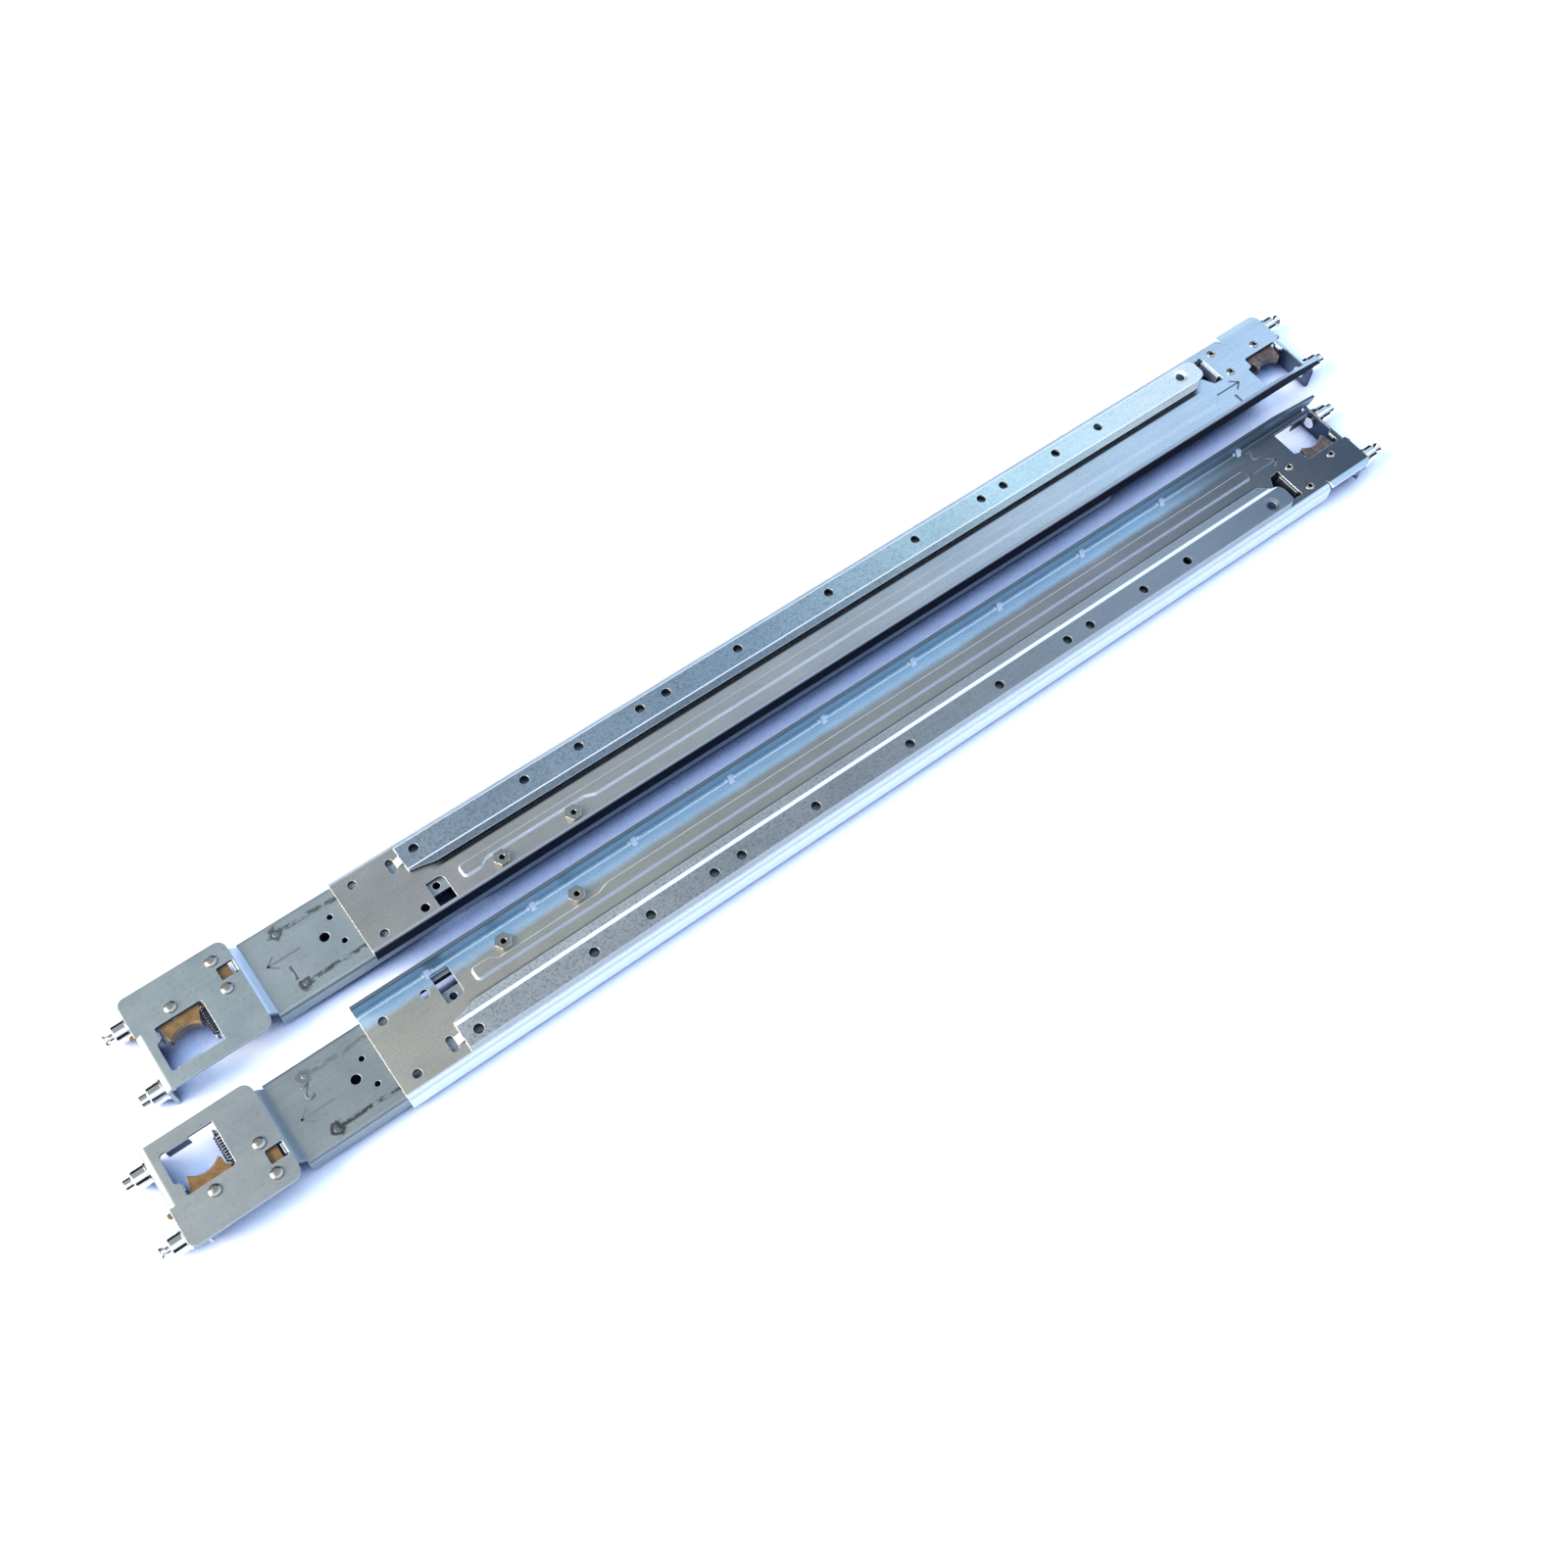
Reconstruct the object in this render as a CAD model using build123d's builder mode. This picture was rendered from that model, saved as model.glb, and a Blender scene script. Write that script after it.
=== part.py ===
from build123d import *
import os
from collections import namedtuple
from math import cos, radians, sin

# A pair of telescopic rack rails that lie side by side on their end flanges, in millimetres.
# Every piece is drawn for the right rail: x = 0 is the front edge of its channel and x runs forwards,
# y = 0 is its inner edge and y runs outwards, z = 0 is the top of its web. export_pair moves each
# piece to the shared frame and mirrors it for the left rail.

# Sheets and bends
SHEET = 1.5  # rail steel
LATCH_SHEET = 1.2  # latch levers and latch brackets
BEND = 2.25  # bend radius in the middle of the rail sheet
SLIDE_BEND = 1.25  # bend radius in the middle of the extension's flanges
LATCH_BEND = 1.0  # bend radius in the middle of the latch sheet
SLIDE_GAP = 0.2  # between the web and the extension that slides beneath it
SIDE_GAP = 0.3  # between the extension and the channel's outer flange
LIP_GAP = 0.9  # between the extension's flange and the return lip
LAYER_GAP = 0.3  # between plate, lever and latch bracket

# The pair
RAIL_GAP = 14.6  # between the inner edges of the two rails
LEFT_SET_BACK = 19.8  # the left rail lies this much further back
FOOT_Z = -13.0  # bottom of the end flanges, on which the rails lie

# Front channel
RAIL_WIDTH = 44.4  # one rack unit less play
CHANNEL_LENGTH = 541.0
REAR_EDGE = -CHANNEL_LENGTH
SHELF_HEIGHT = 9.0  # flange that carries the equipment
CHANNEL_DEPTH = 11.5
LIP_WIDTH = 7.0  # return lip that holds the extension
OPEN_FRONT = 28.0  # stretch at the front without an outer flange
FRONT_CORNER = 4.0
WING_DROP = 3.5  # the shelf flange's edge falls towards its front tip
WING_REACH = 1.5
SLIT_LENGTH = 6.0
DART_PITCH = 50.8
DART_REAR = REAR_EDGE + 33.0
DART_COUNT = int((-OPEN_FRONT - DART_REAR) / DART_PITCH) + 1
DART_SIZE = 2.6
DART_WIDTH = 2.4

# Raised bead beside the shelf flange
BEAD_RISE = 1.1
BEAD_IN = 11.4
BEAD_OUT = 17.6
BEAD_JOG = 1.9  # the bead steps outwards to clear the slide studs
BEAD_WIDER = 0.6  # the bead's rear end reaches this much further in
BEAD_REAR = REAR_EDGE + 48.0
BEAD_FRONT = -56.0
BEAD_SLOPE = 30

# Raised strip with a free lip
STRIP_RISE = 1.4
STRIP_IN = RAIL_WIDTH - 16.3
STRIP_OUT = RAIL_WIDTH - 3.2
STRIP_CREASE = 1.2  # width of the embossed crease at the outer side
STRIP_REAR = REAR_EDGE + 30.6
STRIP_FRONT = -48.6
STRIP_NOSE = 3.3
STRIP_NOSE_IN = STRIP_IN + 3.9
STRIP_NOSE_WIDTH = 4.0
NOSE_SLOT_LENGTH = 7.6
NOSE_SLOT_WIDTH = 3.4
LIP_EDGE = STRIP_IN - 4.1  # free edge of the strip's lip
LIP_RISE = 1.0
STRIP_HOLE_R = 2.25
STRIP_HOLE_Y = RAIL_WIDTH - 9.1
# Holes between nose and tongue, as shares of the channel's length
STRIP_HOLE_SHARES = (0.828, 0.776, 0.716, 0.69, 0.617, 0.521, 0.426, 0.351, 0.3255, 0.264, 0.213)
TONGUE_HOLE = STRIP_FRONT - 11.2
COUNTERSINK_R = 3.8
COUNTERSINK = 0.9

# Holes and windows in the web
WEB_HOLE_R = 2.0
WEB_HOLE_REAR = REAR_EDGE + 8.2
WEB_HOLE_FRONT = REAR_EDGE + 27.7
WEB_HOLE_OUT = RAIL_WIDTH - 8.0
PEEP_REAR = REAR_EDGE + 33.0  # D-shaped window over the extension's slot
PEEP_LENGTH = 8.3
PEEP_IN = 3.5
PEEP_OUT = 18.5
STOP_REAR = -52.5  # T-shaped window at the end of the tongue
STOP_SHOULDER = -48.0
STOP_FRONT = -42.5
STOP_IN = STRIP_IN - 5.9
STOP_OUT = RAIL_WIDTH - 5.8
STOP_RELIEF_R = 1.2

# Slide studs and the slot that runs on them
STUD_Y = 9.15
REAR_STUD = REAR_EDGE + 65.5
FRONT_STUD = REAR_EDGE + 101.5
STUD_HEX = 7.0
STUD_HEAD = 2.2
STUD_SHANK_R = 2.5
STUD_SHOULDER_R = 3.1
STUD_TAIL_R = 2.2
STUD_BORE_R = 1.3
WASHER_R = 4.3
WASHER_THICKNESS = 1.2
FIT = 0.05  # radial clearance of riveted and running fits
SLOT_GAP = 0.15  # between the slot and the stud shoulders, at the sides and at the ends
TRAVEL_IN = 42.0
TRAVEL_OUT = CHANNEL_LENGTH - 262.0

# Rear extension
JOG_FRONT = REAR_EDGE - 44.0
JOG_LENGTH = 3.0
REAR_FACE = REAR_EDGE - 95.0
DIMPLE_X = JOG_FRONT + 15.6
DIMPLE_IN = 9.9
DIMPLE_OUT = RAIL_WIDTH - 7.9
DIMPLE_R = 2.2
DIMPLE_RISE = 0.15
EXTENSION_IN = 2.9
EXTENSION_NOSE = 23.25  # left in front of the slot
PEEP_HOLE = REAR_EDGE + 36.7
PEEP_HOLE_Y = 16.0
PEEP_HOLE_R = 1.75
TOOL_HOLES_X = JOG_FRONT + 37.5  # two small holes beside a larger one
TOOL_HOLES_Y = (17.1, 29.9)
TOOL_HOLE_R = 1.3
LARGE_HOLE_X = JOG_FRONT + 31.4
LARGE_HOLE_Y = 23.3
LARGE_HOLE_R = 2.2
REAR_TOP = 2.0  # top of the rear end plate
REAR_WIDTH = RAIL_WIDTH + 1.7
REAR_CORNER = 4.5
REAR_TAIL_CORNER = 3.5
SQUARE_X = JOG_FRONT - 7.5  # square window with a tab, over the lever
SQUARE_Y = 32.2
SQUARE_LENGTH = 7.6
SQUARE_WIDTH = 6.5
SQUARE_TAB = 4.8
SQUARE_TAB_SHEET = 1.4

# Latch at both ends: m runs from the latch datum into the rail, its y and z from the end plate
RIVET_M = 14.0
RIVET_Y = 31.3
PIVOT_M = 36.2
PIVOT_Y = 25.0
OUTER_RIVET_Y = RAIL_WIDTH - 5.0
RIVET_SHANK_R = 1.6
RIVET_SHOULDER_R = 2.5
RIVET_TAIL_R = 2.6
RIVET_TAIL = 0.8
HOLLOW_R = 1.1
WINDOW_IN = 6.2
WINDOW_STEP = 20.6
WINDOW_OUT = 27.0
WINDOW_NEAR = 2.4
WINDOW_NEAR_OUT = 4.6
WINDOW_CORNER = 1.5
WINDOW_TAB_NEAR = 2.7  # tab bent down at the window's inner edge, from its near corner
WINDOW_TAB_FAR = 12.5
SIDE_TAB = 3.0
TAB_SHEET = 0.7
TAB_DEPTH = 4.5
HOOK_REACH = 2.0
HOOK_IN = 28.2
HOOK_OUT = 30.4
HOOK_CLEARANCE = 0.6
LEVER_END = 41.0
LEVER_OUT = 36.0
LEVER_HEEL = 20.4  # inner edge beside the pivot
LEVER_EDGE = 24.3  # inner edge beside the spring
LEVER_OPEN = 5.0  # degrees
RIM_DEPTH = 3.7
REAR_HORN = (7.2, 19.2)
FRONT_HORN = (21.0, 19.4)
FINGER_DIP = (14.2, 22.3)
BRACKET_END = 41.0
BRACKET_IN = 4.2
BRACKET_OUT = RAIL_WIDTH - 1.8
BRACKET_STEP_Y = 27.6
EAR_BACK = 6.0
EAR_HALF = 6.5
EAR_FOOT = -9.5

# Return spring of the lever
SPRING_R = 1.5
SPRING_WIRE = 0.55
SPRING_RING_R = 1.35
SPRING_EYE_R = 0.85
SPRING_TOP = 24.9
SPRING_FOOT = 10.1
SPRING_TAB_WIDTH = 1.4
SPRING_TAB_REACH = 0.9
SPRING_TAB_RISER = 3.1
SPRING_LUG_RISER = 0.9

# Locating pins, in the first and third square hole of a rack unit
PIN_Y = 6.1
PIN_PITCH = 31.75
PIN_Z = -6.5
PIN_RING_R = 5.0
PIN_COLLAR = 6.0
PIN_TIP_R = 3.0
PIN_TIP = 4.0
PIN_ROOT_R = 3.3
PIN_SHANK_R = 2.5
PIN_NECK_R = 1.9
PIN_FLARE_R = 3.1
PIN_TAIL_R = 3.0
OUTER_SHANK_R = 1.2
OUTER_TAIL_R = 1.6
PIN_TAIL = 1.6
PIN_CHAMFER = 0.5

# What differs between the ends: face and plate top, latch datum and sideways shift, the window's far
# edges, the pins' ring and collar, the rivet heads, the spring's place and the bracket's step. The front
# is a mirror image with hollow rivets, and its spring hangs hidden below the plate.
End = namedtuple(
    "End", "name front face top datum shift far far_out ring collar_r head_r head spring_m spring_z step_m"
)
REAR = End("rear", False, REAR_FACE, REAR_TOP, 3.6, 0.0, 25.4, 25.4, 1.0, 4.55, 2.8, 1.4, 23.9, -2.4, 27.0)
FRONT = End("front", True, 0.0, 0.0, 0.0, -1.8, 28.0, 25.0, 2.6, 4.35, 2.3, 0.8, 29.6, -4.75, 33.0)

EXTENSION_TOP = -SHEET - SLIDE_GAP
EXTENSION_OUT = RAIL_WIDTH - SHEET - SIDE_GAP
EXTENSION_FOOT = -CHANNEL_DEPTH + SHEET + LIP_GAP
SLOT_R = STUD_SHOULDER_R + SLOT_GAP
SLOT_REAR = REAR_STUD - SLOT_R - TRAVEL_IN
SLOT_FRONT = FRONT_STUD + SLOT_R + TRAVEL_OUT
EXTENSION_FRONT = SLOT_FRONT + EXTENSION_NOSE
LEVER_TOP = -SHEET - LAYER_GAP
BRACKET_TOP = LEVER_TOP - LATCH_SHEET - LAYER_GAP
STUD_FOOT = EXTENSION_TOP - SHEET - SLIDE_GAP
PIN_REACH = PIN_COLLAR + PIN_TIP
STRIP_HOLES = [STRIP_REAR + 7.0, *(-CHANNEL_LENGTH * share for share in STRIP_HOLE_SHARES), TONGUE_HOLE]
REAR_TIP = REAR_FACE - REAR.ring - PIN_REACH - LEFT_SET_BACK
FRONT_TIP = FRONT.ring + PIN_REACH
MIDDLE_X = (REAR_TIP + FRONT_TIP) / 2

os.makedirs("parts", exist_ok=True)


def export_pair(name, piece):
    """Write the right piece, and its mirror image for the left rail, in the shared frame."""
    with BuildPart() as right:
        with Locations((-MIDDLE_X, RAIL_GAP / 2, -FOOT_Z)):
            add(piece)
    with BuildPart() as left:
        with Locations((-MIDDLE_X - LEFT_SET_BACK, -RAIL_GAP / 2, -FOOT_Z)):
            add(mirror(piece, about=Plane.XZ, mode=Mode.PRIVATE))
    for side, rail in (("right", right), ("left", left)):
        rail.part.label = f"{side}_{name}"
        export_step(rail.part, f"parts/{side}_{name}.step")


def at_end(end, piece):
    """Move a piece from the latch frame to its end plate; the front one is a mirror image."""
    with BuildPart() as placed:
        if end.front:
            with Locations((end.face - end.datum, end.shift, end.top)):
                add(mirror(piece, about=Plane.YZ, mode=Mode.PRIVATE))
        else:
            with Locations((end.face + end.datum, end.shift, end.top)):
                add(piece)
    return placed.part


def section(station, points, radii, length):
    """Bent sheet of the rail's thickness: a section across the rail, extruded forwards."""
    with BuildPart() as sheet:
        with BuildSketch(Plane.YZ.offset(station)):
            with BuildLine():
                FilletPolyline(*points, radius=radii)
            trace(line_width=SHEET)
        extrude(amount=length)
    return sheet.part


def block(start, end):
    """A box between two opposite corners."""
    with BuildPart() as solid:
        size = [b - a for a, b in zip(start, end)]
        with Locations(start):
            Box(*size, align=(Align.MIN, Align.MIN, Align.MIN))
    return solid.part


def window_cutter(end):
    """The finger window, a wide part with a narrower step beside the lever."""
    bottom = BRACKET_TOP - LATCH_SHEET - 1
    with BuildPart() as cutter:
        with BuildSketch(Plane.XY.offset(bottom)):
            with BuildLine():
                FilletPolyline(
                    (WINDOW_NEAR, WINDOW_IN),
                    (end.far, WINDOW_IN),
                    (end.far, WINDOW_STEP),
                    (end.far_out + 0.01, WINDOW_STEP + 1),
                    (end.far_out, WINDOW_OUT),
                    (WINDOW_NEAR_OUT, WINDOW_OUT),
                    (WINDOW_NEAR_OUT, WINDOW_STEP),
                    (WINDOW_NEAR, WINDOW_STEP),
                    radius=[WINDOW_CORNER, 0.3, 0.3, WINDOW_CORNER, WINDOW_CORNER, 0.8, 0.8, WINDOW_CORNER],
                    close=True,
                )
            make_face()
        extrude(amount=-bottom + 1)
    return cutter.part


def end_flange(end):
    """The end plate's flange, bent down, in the latch frame."""
    face = -end.datum
    width = HOOK_IN - HOOK_CLEARANCE + end.shift
    with BuildPart() as flange:
        with BuildSketch(Plane.XZ.offset(end.shift)):
            with BuildLine():
                FilletPolyline(
                    (face + SHEET / 2 + 2 * BEND, -SHEET / 2),
                    (face + SHEET / 2, -SHEET / 2),
                    (face + SHEET / 2, FOOT_Z - end.top),
                    radius=BEND,
                )
            trace(line_width=SHEET)
        extrude(amount=-width)
    return flange.part


def plate_tabs(end):
    """Small tabs bent down at the edges of the finger window, in the latch frame."""
    low = -SHEET - TAB_DEPTH
    with BuildPart() as tabs:
        add(block(
            (WINDOW_NEAR + WINDOW_TAB_NEAR, WINDOW_IN - 0.1, low),
            (WINDOW_NEAR + WINDOW_TAB_FAR, WINDOW_IN + TAB_SHEET, -0.4),
        ))
        add(block(
            (WINDOW_NEAR_OUT - 0.1, WINDOW_STEP + 1, low),
            (WINDOW_NEAR_OUT + TAB_SHEET, WINDOW_STEP + 1 + SIDE_TAB, -0.3),
        ))
    return tabs.part


def rivet_places():
    return (RIVET_M, RIVET_Y), (PIVOT_M, PIVOT_Y), (PIVOT_M, OUTER_RIVET_Y)


def rivet_holes(end):
    """Cutters for the rivet shanks, and in the end flange for the inner pin."""
    with BuildPart() as cutters:
        with BuildSketch(Plane.XY):
            with Locations(*rivet_places()):
                Circle(RIVET_SHANK_R + FIT)
        extrude(amount=4 * SHEET, both=True)
        with BuildSketch(Plane.YZ.offset(-end.datum - 1)):
            with Locations((PIN_Y - end.shift, PIN_Z - end.top)):
                Circle(PIN_SHANK_R + FIT)
        extrude(amount=SHEET + 2)
    return cutters.part


def rivets(end):
    """Three shouldered rivets: they carry the bracket below the plate, and one is the lever's pivot."""
    bracket_foot = BRACKET_TOP - LATCH_SHEET
    places = rivet_places()
    dome = [(end.head_r * cos(radians(a)), end.head * sin(radians(a))) for a in (0, 28, 56)]
    with BuildPart() as rivet:
        with BuildSketch(Plane.XZ):
            with BuildLine():
                Polyline(
                    (0, end.head),
                    (0, bracket_foot - RIVET_TAIL),
                    (RIVET_TAIL_R, bracket_foot - RIVET_TAIL),
                    (RIVET_TAIL_R, bracket_foot),
                    (RIVET_SHANK_R, bracket_foot),
                    (RIVET_SHANK_R, BRACKET_TOP),
                    (RIVET_SHOULDER_R, BRACKET_TOP),
                    (RIVET_SHOULDER_R, -SHEET),
                    (RIVET_SHANK_R, -SHEET),
                    (RIVET_SHANK_R, 0),
                    *dome,
                    close=True,
                )
            make_face()
        revolve(axis=Axis.Z)
        if end.front:
            Cylinder(HOLLOW_R, 4 * CHANNEL_DEPTH, mode=Mode.SUBTRACT)
    with BuildPart() as group:
        for m, y in places:
            with Locations((m, y, 0)):
                add(rivet.part)
    return group.part


def spring_finger(end, y, riser, level):
    """A finger through the spring's ring, on a leg that reaches the sheet at the given level."""
    near = y - SPRING_TAB_WIDTH / 2
    far = near + SPRING_TAB_WIDTH
    foot = end.spring_z - LATCH_SHEET / 2
    leg = end.spring_m + riser
    with BuildPart() as finger:
        tip = end.spring_m - SPRING_TAB_REACH
        add(block((tip, near, foot), (leg + LATCH_SHEET, far, foot + LATCH_SHEET)))
        add(block((leg, near, min(foot, level)), (leg + LATCH_SHEET, far, max(foot + 0.1, level))))
    return finger.part


def lever(end):
    """Sprung latch lever: hook, finger rim and pivot hole, in the gap between plate and bracket."""
    hook = -end.datum - HOOK_REACH
    foot = LEVER_TOP - LATCH_SHEET
    turn = radians(LEVER_OPEN + 1)
    slack = LAYER_GAP / 2
    back = (RIVET_M - turn * (RIVET_Y - PIVOT_Y), RIVET_Y - turn * (PIVOT_M - RIVET_M))
    with BuildPart() as piece:
        with BuildSketch(Plane.XY.offset(foot)):
            with BuildLine():
                FilletPolyline(
                    REAR_HORN,
                    (5.8, 27.2),
                    (hook, HOOK_IN),
                    (hook, HOOK_OUT),
                    (3.0, 30.9),
                    (8.0, LEVER_OUT),
                    (LEVER_END, LEVER_OUT),
                    (LEVER_END, LEVER_HEEL),
                    (end.spring_m + 6.1, LEVER_HEEL),
                    (end.spring_m + 2.1, LEVER_EDGE),
                    (FRONT_HORN[0] + 1.4, LEVER_EDGE),
                    FRONT_HORN,
                    radius=[1.5, 0.5, 1.0, 2.0, 3.0, 2.0, 3.0, 2.0, 1.5, 0.8],
                )
                ThreePointArc(FRONT_HORN, FINGER_DIP, REAR_HORN)
            make_face()
            with Locations((PIVOT_M, PIVOT_Y)):
                Circle(RIVET_SHOULDER_R + FIT, mode=Mode.SUBTRACT)
            if not end.front:
                with Locations((end.spring_m, SPRING_TOP + SPRING_RING_R)):
                    Circle(SPRING_EYE_R, mode=Mode.SUBTRACT)
        extrude(amount=LATCH_SHEET)
        with BuildSketch(Plane.XY.offset(foot - 1)):
            with Locations((RIVET_M, RIVET_Y), back):
                Circle(RIVET_SHOULDER_R + slack)
            make_hull()
        extrude(amount=LATCH_SHEET + 2, mode=Mode.SUBTRACT)
        with BuildSketch(Plane.XY.offset(foot + LATCH_SHEET / 2)):
            with BuildLine():
                ThreePointArc(FRONT_HORN, FINGER_DIP, REAR_HORN)
            trace(line_width=LATCH_SHEET)
        extrude(amount=-RIM_DEPTH - LATCH_SHEET / 2)
        if end.front:
            add(spring_finger(end, SPRING_TOP, SPRING_LUG_RISER, foot + 0.1))
    return piece.part


def bracket(end):
    """Latch bracket under the lever, with the ear that carries the outer pin."""
    ear = -end.datum + EAR_BACK
    plate = ear + LATCH_SHEET / 2 + LATCH_BEND
    pin_y = PIN_Y + PIN_PITCH - end.shift
    foot = BRACKET_TOP - LATCH_SHEET
    with BuildPart() as piece:
        with BuildSketch(Plane.XY.offset(foot)):
            with BuildLine():
                FilletPolyline(
                    (plate, pin_y - EAR_HALF),
                    (plate, pin_y + EAR_HALF),
                    (plate + 2, pin_y + EAR_HALF),
                    (plate + 6, BRACKET_OUT),
                    (BRACKET_END, BRACKET_OUT),
                    (BRACKET_END, BRACKET_IN),
                    (end.step_m, BRACKET_IN),
                    (end.step_m, BRACKET_STEP_Y),
                    (plate + 3, BRACKET_STEP_Y),
                    radius=[0, 0, 0.5, 1, 2, 2, 2, 1.5, 1],
                    close=True,
                )
            make_face()
        extrude(amount=LATCH_SHEET)
        with BuildSketch(Plane.XZ.offset(-pin_y + EAR_HALF)):
            with BuildLine():
                FilletPolyline(
                    (plate + 0.5, foot + LATCH_SHEET / 2),
                    (ear + LATCH_SHEET / 2, foot + LATCH_SHEET / 2),
                    (ear + LATCH_SHEET / 2, EAR_FOOT - end.top),
                    radius=LATCH_BEND,
                )
            trace(line_width=LATCH_SHEET)
        extrude(amount=-2 * EAR_HALF)
        add(spring_finger(end, SPRING_FOOT, SPRING_TAB_RISER, BRACKET_TOP - 0.1))
        with BuildSketch(Plane.XY.offset(foot - 1)):
            with Locations(*rivet_places()):
                Circle(RIVET_SHANK_R + FIT)
        extrude(amount=LATCH_SHEET + 1.1, mode=Mode.SUBTRACT)
        with BuildSketch(Plane.YZ.offset(ear - 1)):
            with Locations((pin_y, PIN_Z - end.top)):
                Circle(OUTER_SHANK_R + FIT)
        extrude(amount=LATCH_SHEET + 2, mode=Mode.SUBTRACT)
    return piece.part


def turned(y, z, outline):
    """A turned pin along the rail from its half outline of stations and radii."""
    with BuildPart() as pin:
        with BuildSketch(Plane((0, y, z), x_dir=(1, 0, 0), z_dir=(0, -1, 0))):
            with BuildLine():
                Polyline((outline[0][0], 0), *outline, (outline[-1][0], 0), close=True)
            make_face()
        revolve(axis=Axis((0, y, z), (1, 0, 0)))
    return pin.part


def inner_pin(end):
    """Plain locating pin riveted in the end flange."""
    face = -end.datum
    inside = face + SHEET
    collar = face - end.ring
    tip = collar - PIN_COLLAR
    return turned(
        PIN_Y - end.shift,
        PIN_Z - end.top,
        [
            (inside + PIN_TAIL, PIN_TAIL_R),
            (inside, PIN_TAIL_R),
            (inside, PIN_SHANK_R),
            (face, PIN_SHANK_R),
            (face, PIN_RING_R),
            (collar, PIN_RING_R),
            (collar, end.collar_r),
            (tip + PIN_CHAMFER, end.collar_r),
            (tip, end.collar_r - PIN_CHAMFER),
            (tip, PIN_TIP_R),
            (tip - PIN_TIP + PIN_CHAMFER, PIN_TIP_R),
            (tip - PIN_TIP, PIN_TIP_R - PIN_CHAMFER),
        ],
    )


def outer_pin(end):
    """Flared locating pin on a long root, riveted in the ear of the latch bracket."""
    face = -end.datum
    ear = face + EAR_BACK
    collar = face - end.ring
    tip = collar - PIN_COLLAR
    return turned(
        PIN_Y + PIN_PITCH - end.shift,
        PIN_Z - end.top,
        [
            (ear + LATCH_SHEET + PIN_TAIL / 2, OUTER_TAIL_R),
            (ear + LATCH_SHEET, OUTER_TAIL_R),
            (ear + LATCH_SHEET, OUTER_SHANK_R),
            (ear, OUTER_SHANK_R),
            (ear, PIN_ROOT_R),
            (face, PIN_ROOT_R),
            (face, PIN_RING_R),
            (collar, PIN_RING_R),
            (collar, end.collar_r),
            (tip + PIN_CHAMFER, end.collar_r),
            (tip, end.collar_r - PIN_CHAMFER),
            (tip, PIN_NECK_R),
            (tip - PIN_TIP * 0.5, PIN_NECK_R),
            (tip - PIN_TIP * 0.85, PIN_FLARE_R),
            (tip - PIN_TIP, PIN_FLARE_R),
        ],
    )


def spring(end):
    """Tension spring between the lever and the finger of the bracket, as a plain outer shape."""
    middle = end.spring_z
    with BuildPart() as piece:
        top = SPRING_TOP - SPRING_RING_R
        foot = SPRING_FOOT + SPRING_RING_R
        with BuildSketch(Plane.XZ.offset(-foot)):
            with Locations((end.spring_m, middle)):
                Circle(SPRING_R)
        extrude(amount=-(top - foot))
        for centre in (SPRING_TOP, SPRING_FOOT):
            ring_axis = Axis((end.spring_m, centre, middle), (1, 0, 0))
            with BuildSketch(Plane.XY.offset(middle)):
                with Locations((end.spring_m, centre + SPRING_RING_R)):
                    Rectangle(SPRING_WIRE, SPRING_WIRE)
            revolve(axis=ring_axis)
    return piece.part


# The strip's section across the rail, cut to its plan: a nose behind and a round tongue in front
strip_edge = [
    (STRIP_REAR, STRIP_OUT),
    (STRIP_REAR, STRIP_IN - 1.1),
    (STRIP_REAR + 6.0, STRIP_IN - 2.3),
    (STRIP_REAR + 12.0, LIP_EDGE),
    (STRIP_FRONT - 11.0, LIP_EDGE),
    (STRIP_FRONT - 5.0, STRIP_IN),
]
with BuildPart() as strip:
    with BuildSketch(Plane.YZ.offset(STRIP_REAR)):
        with BuildLine():
            Polyline(
                (LIP_EDGE, STRIP_RISE + LIP_RISE),
                (STRIP_IN, STRIP_RISE),
                (STRIP_OUT - STRIP_CREASE, STRIP_RISE),
                (STRIP_OUT, 0),
                (STRIP_OUT, -SHEET),
                (STRIP_OUT - STRIP_CREASE, STRIP_RISE - SHEET),
                (STRIP_IN, STRIP_RISE - SHEET),
                (LIP_EDGE, STRIP_RISE + LIP_RISE - SHEET),
                close=True,
            )
        make_face()
    extrude(amount=STRIP_FRONT - STRIP_REAR)
    with BuildSketch(Plane.XY.offset(-SHEET)):
        with BuildLine():
            FilletPolyline(
                *strip_edge,
                (STRIP_FRONT, STRIP_IN + 1),
                (STRIP_FRONT, STRIP_OUT - 2.6),
                (STRIP_FRONT - 4, STRIP_OUT),
                radius=[1.0, 4.0, 8.0, 6.0, 3.0, 4.0, 3.0],
            )
            Line((STRIP_FRONT - 4, STRIP_OUT), (STRIP_REAR, STRIP_OUT))
        make_face()
    extrude(amount=SHEET + STRIP_RISE + LIP_RISE + 1, mode=Mode.INTERSECT)

# The bead's plan steps outwards beside the slide studs
with BuildPart() as bead:
    with BuildSketch(Plane.XY):
        with BuildLine():
            FilletPolyline(
                (BEAD_REAR, BEAD_IN - BEAD_WIDER),
                (REAR_STUD - 9.0, BEAD_IN - BEAD_WIDER),
                (REAR_STUD - 5.0, BEAD_IN + BEAD_JOG),
                (FRONT_STUD + 8.0, BEAD_IN + BEAD_JOG),
                (FRONT_STUD + 13.0, BEAD_IN),
                (BEAD_FRONT, BEAD_IN),
                (BEAD_FRONT, BEAD_OUT),
                (BEAD_REAR, BEAD_OUT),
                radius=[2.0, 2.5, 2.5, 3.0, 3.0, 2.0, 2.0, 2.0],
                close=True,
            )
        make_face()
    extrude(amount=BEAD_RISE, taper=BEAD_SLOPE)

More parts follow.
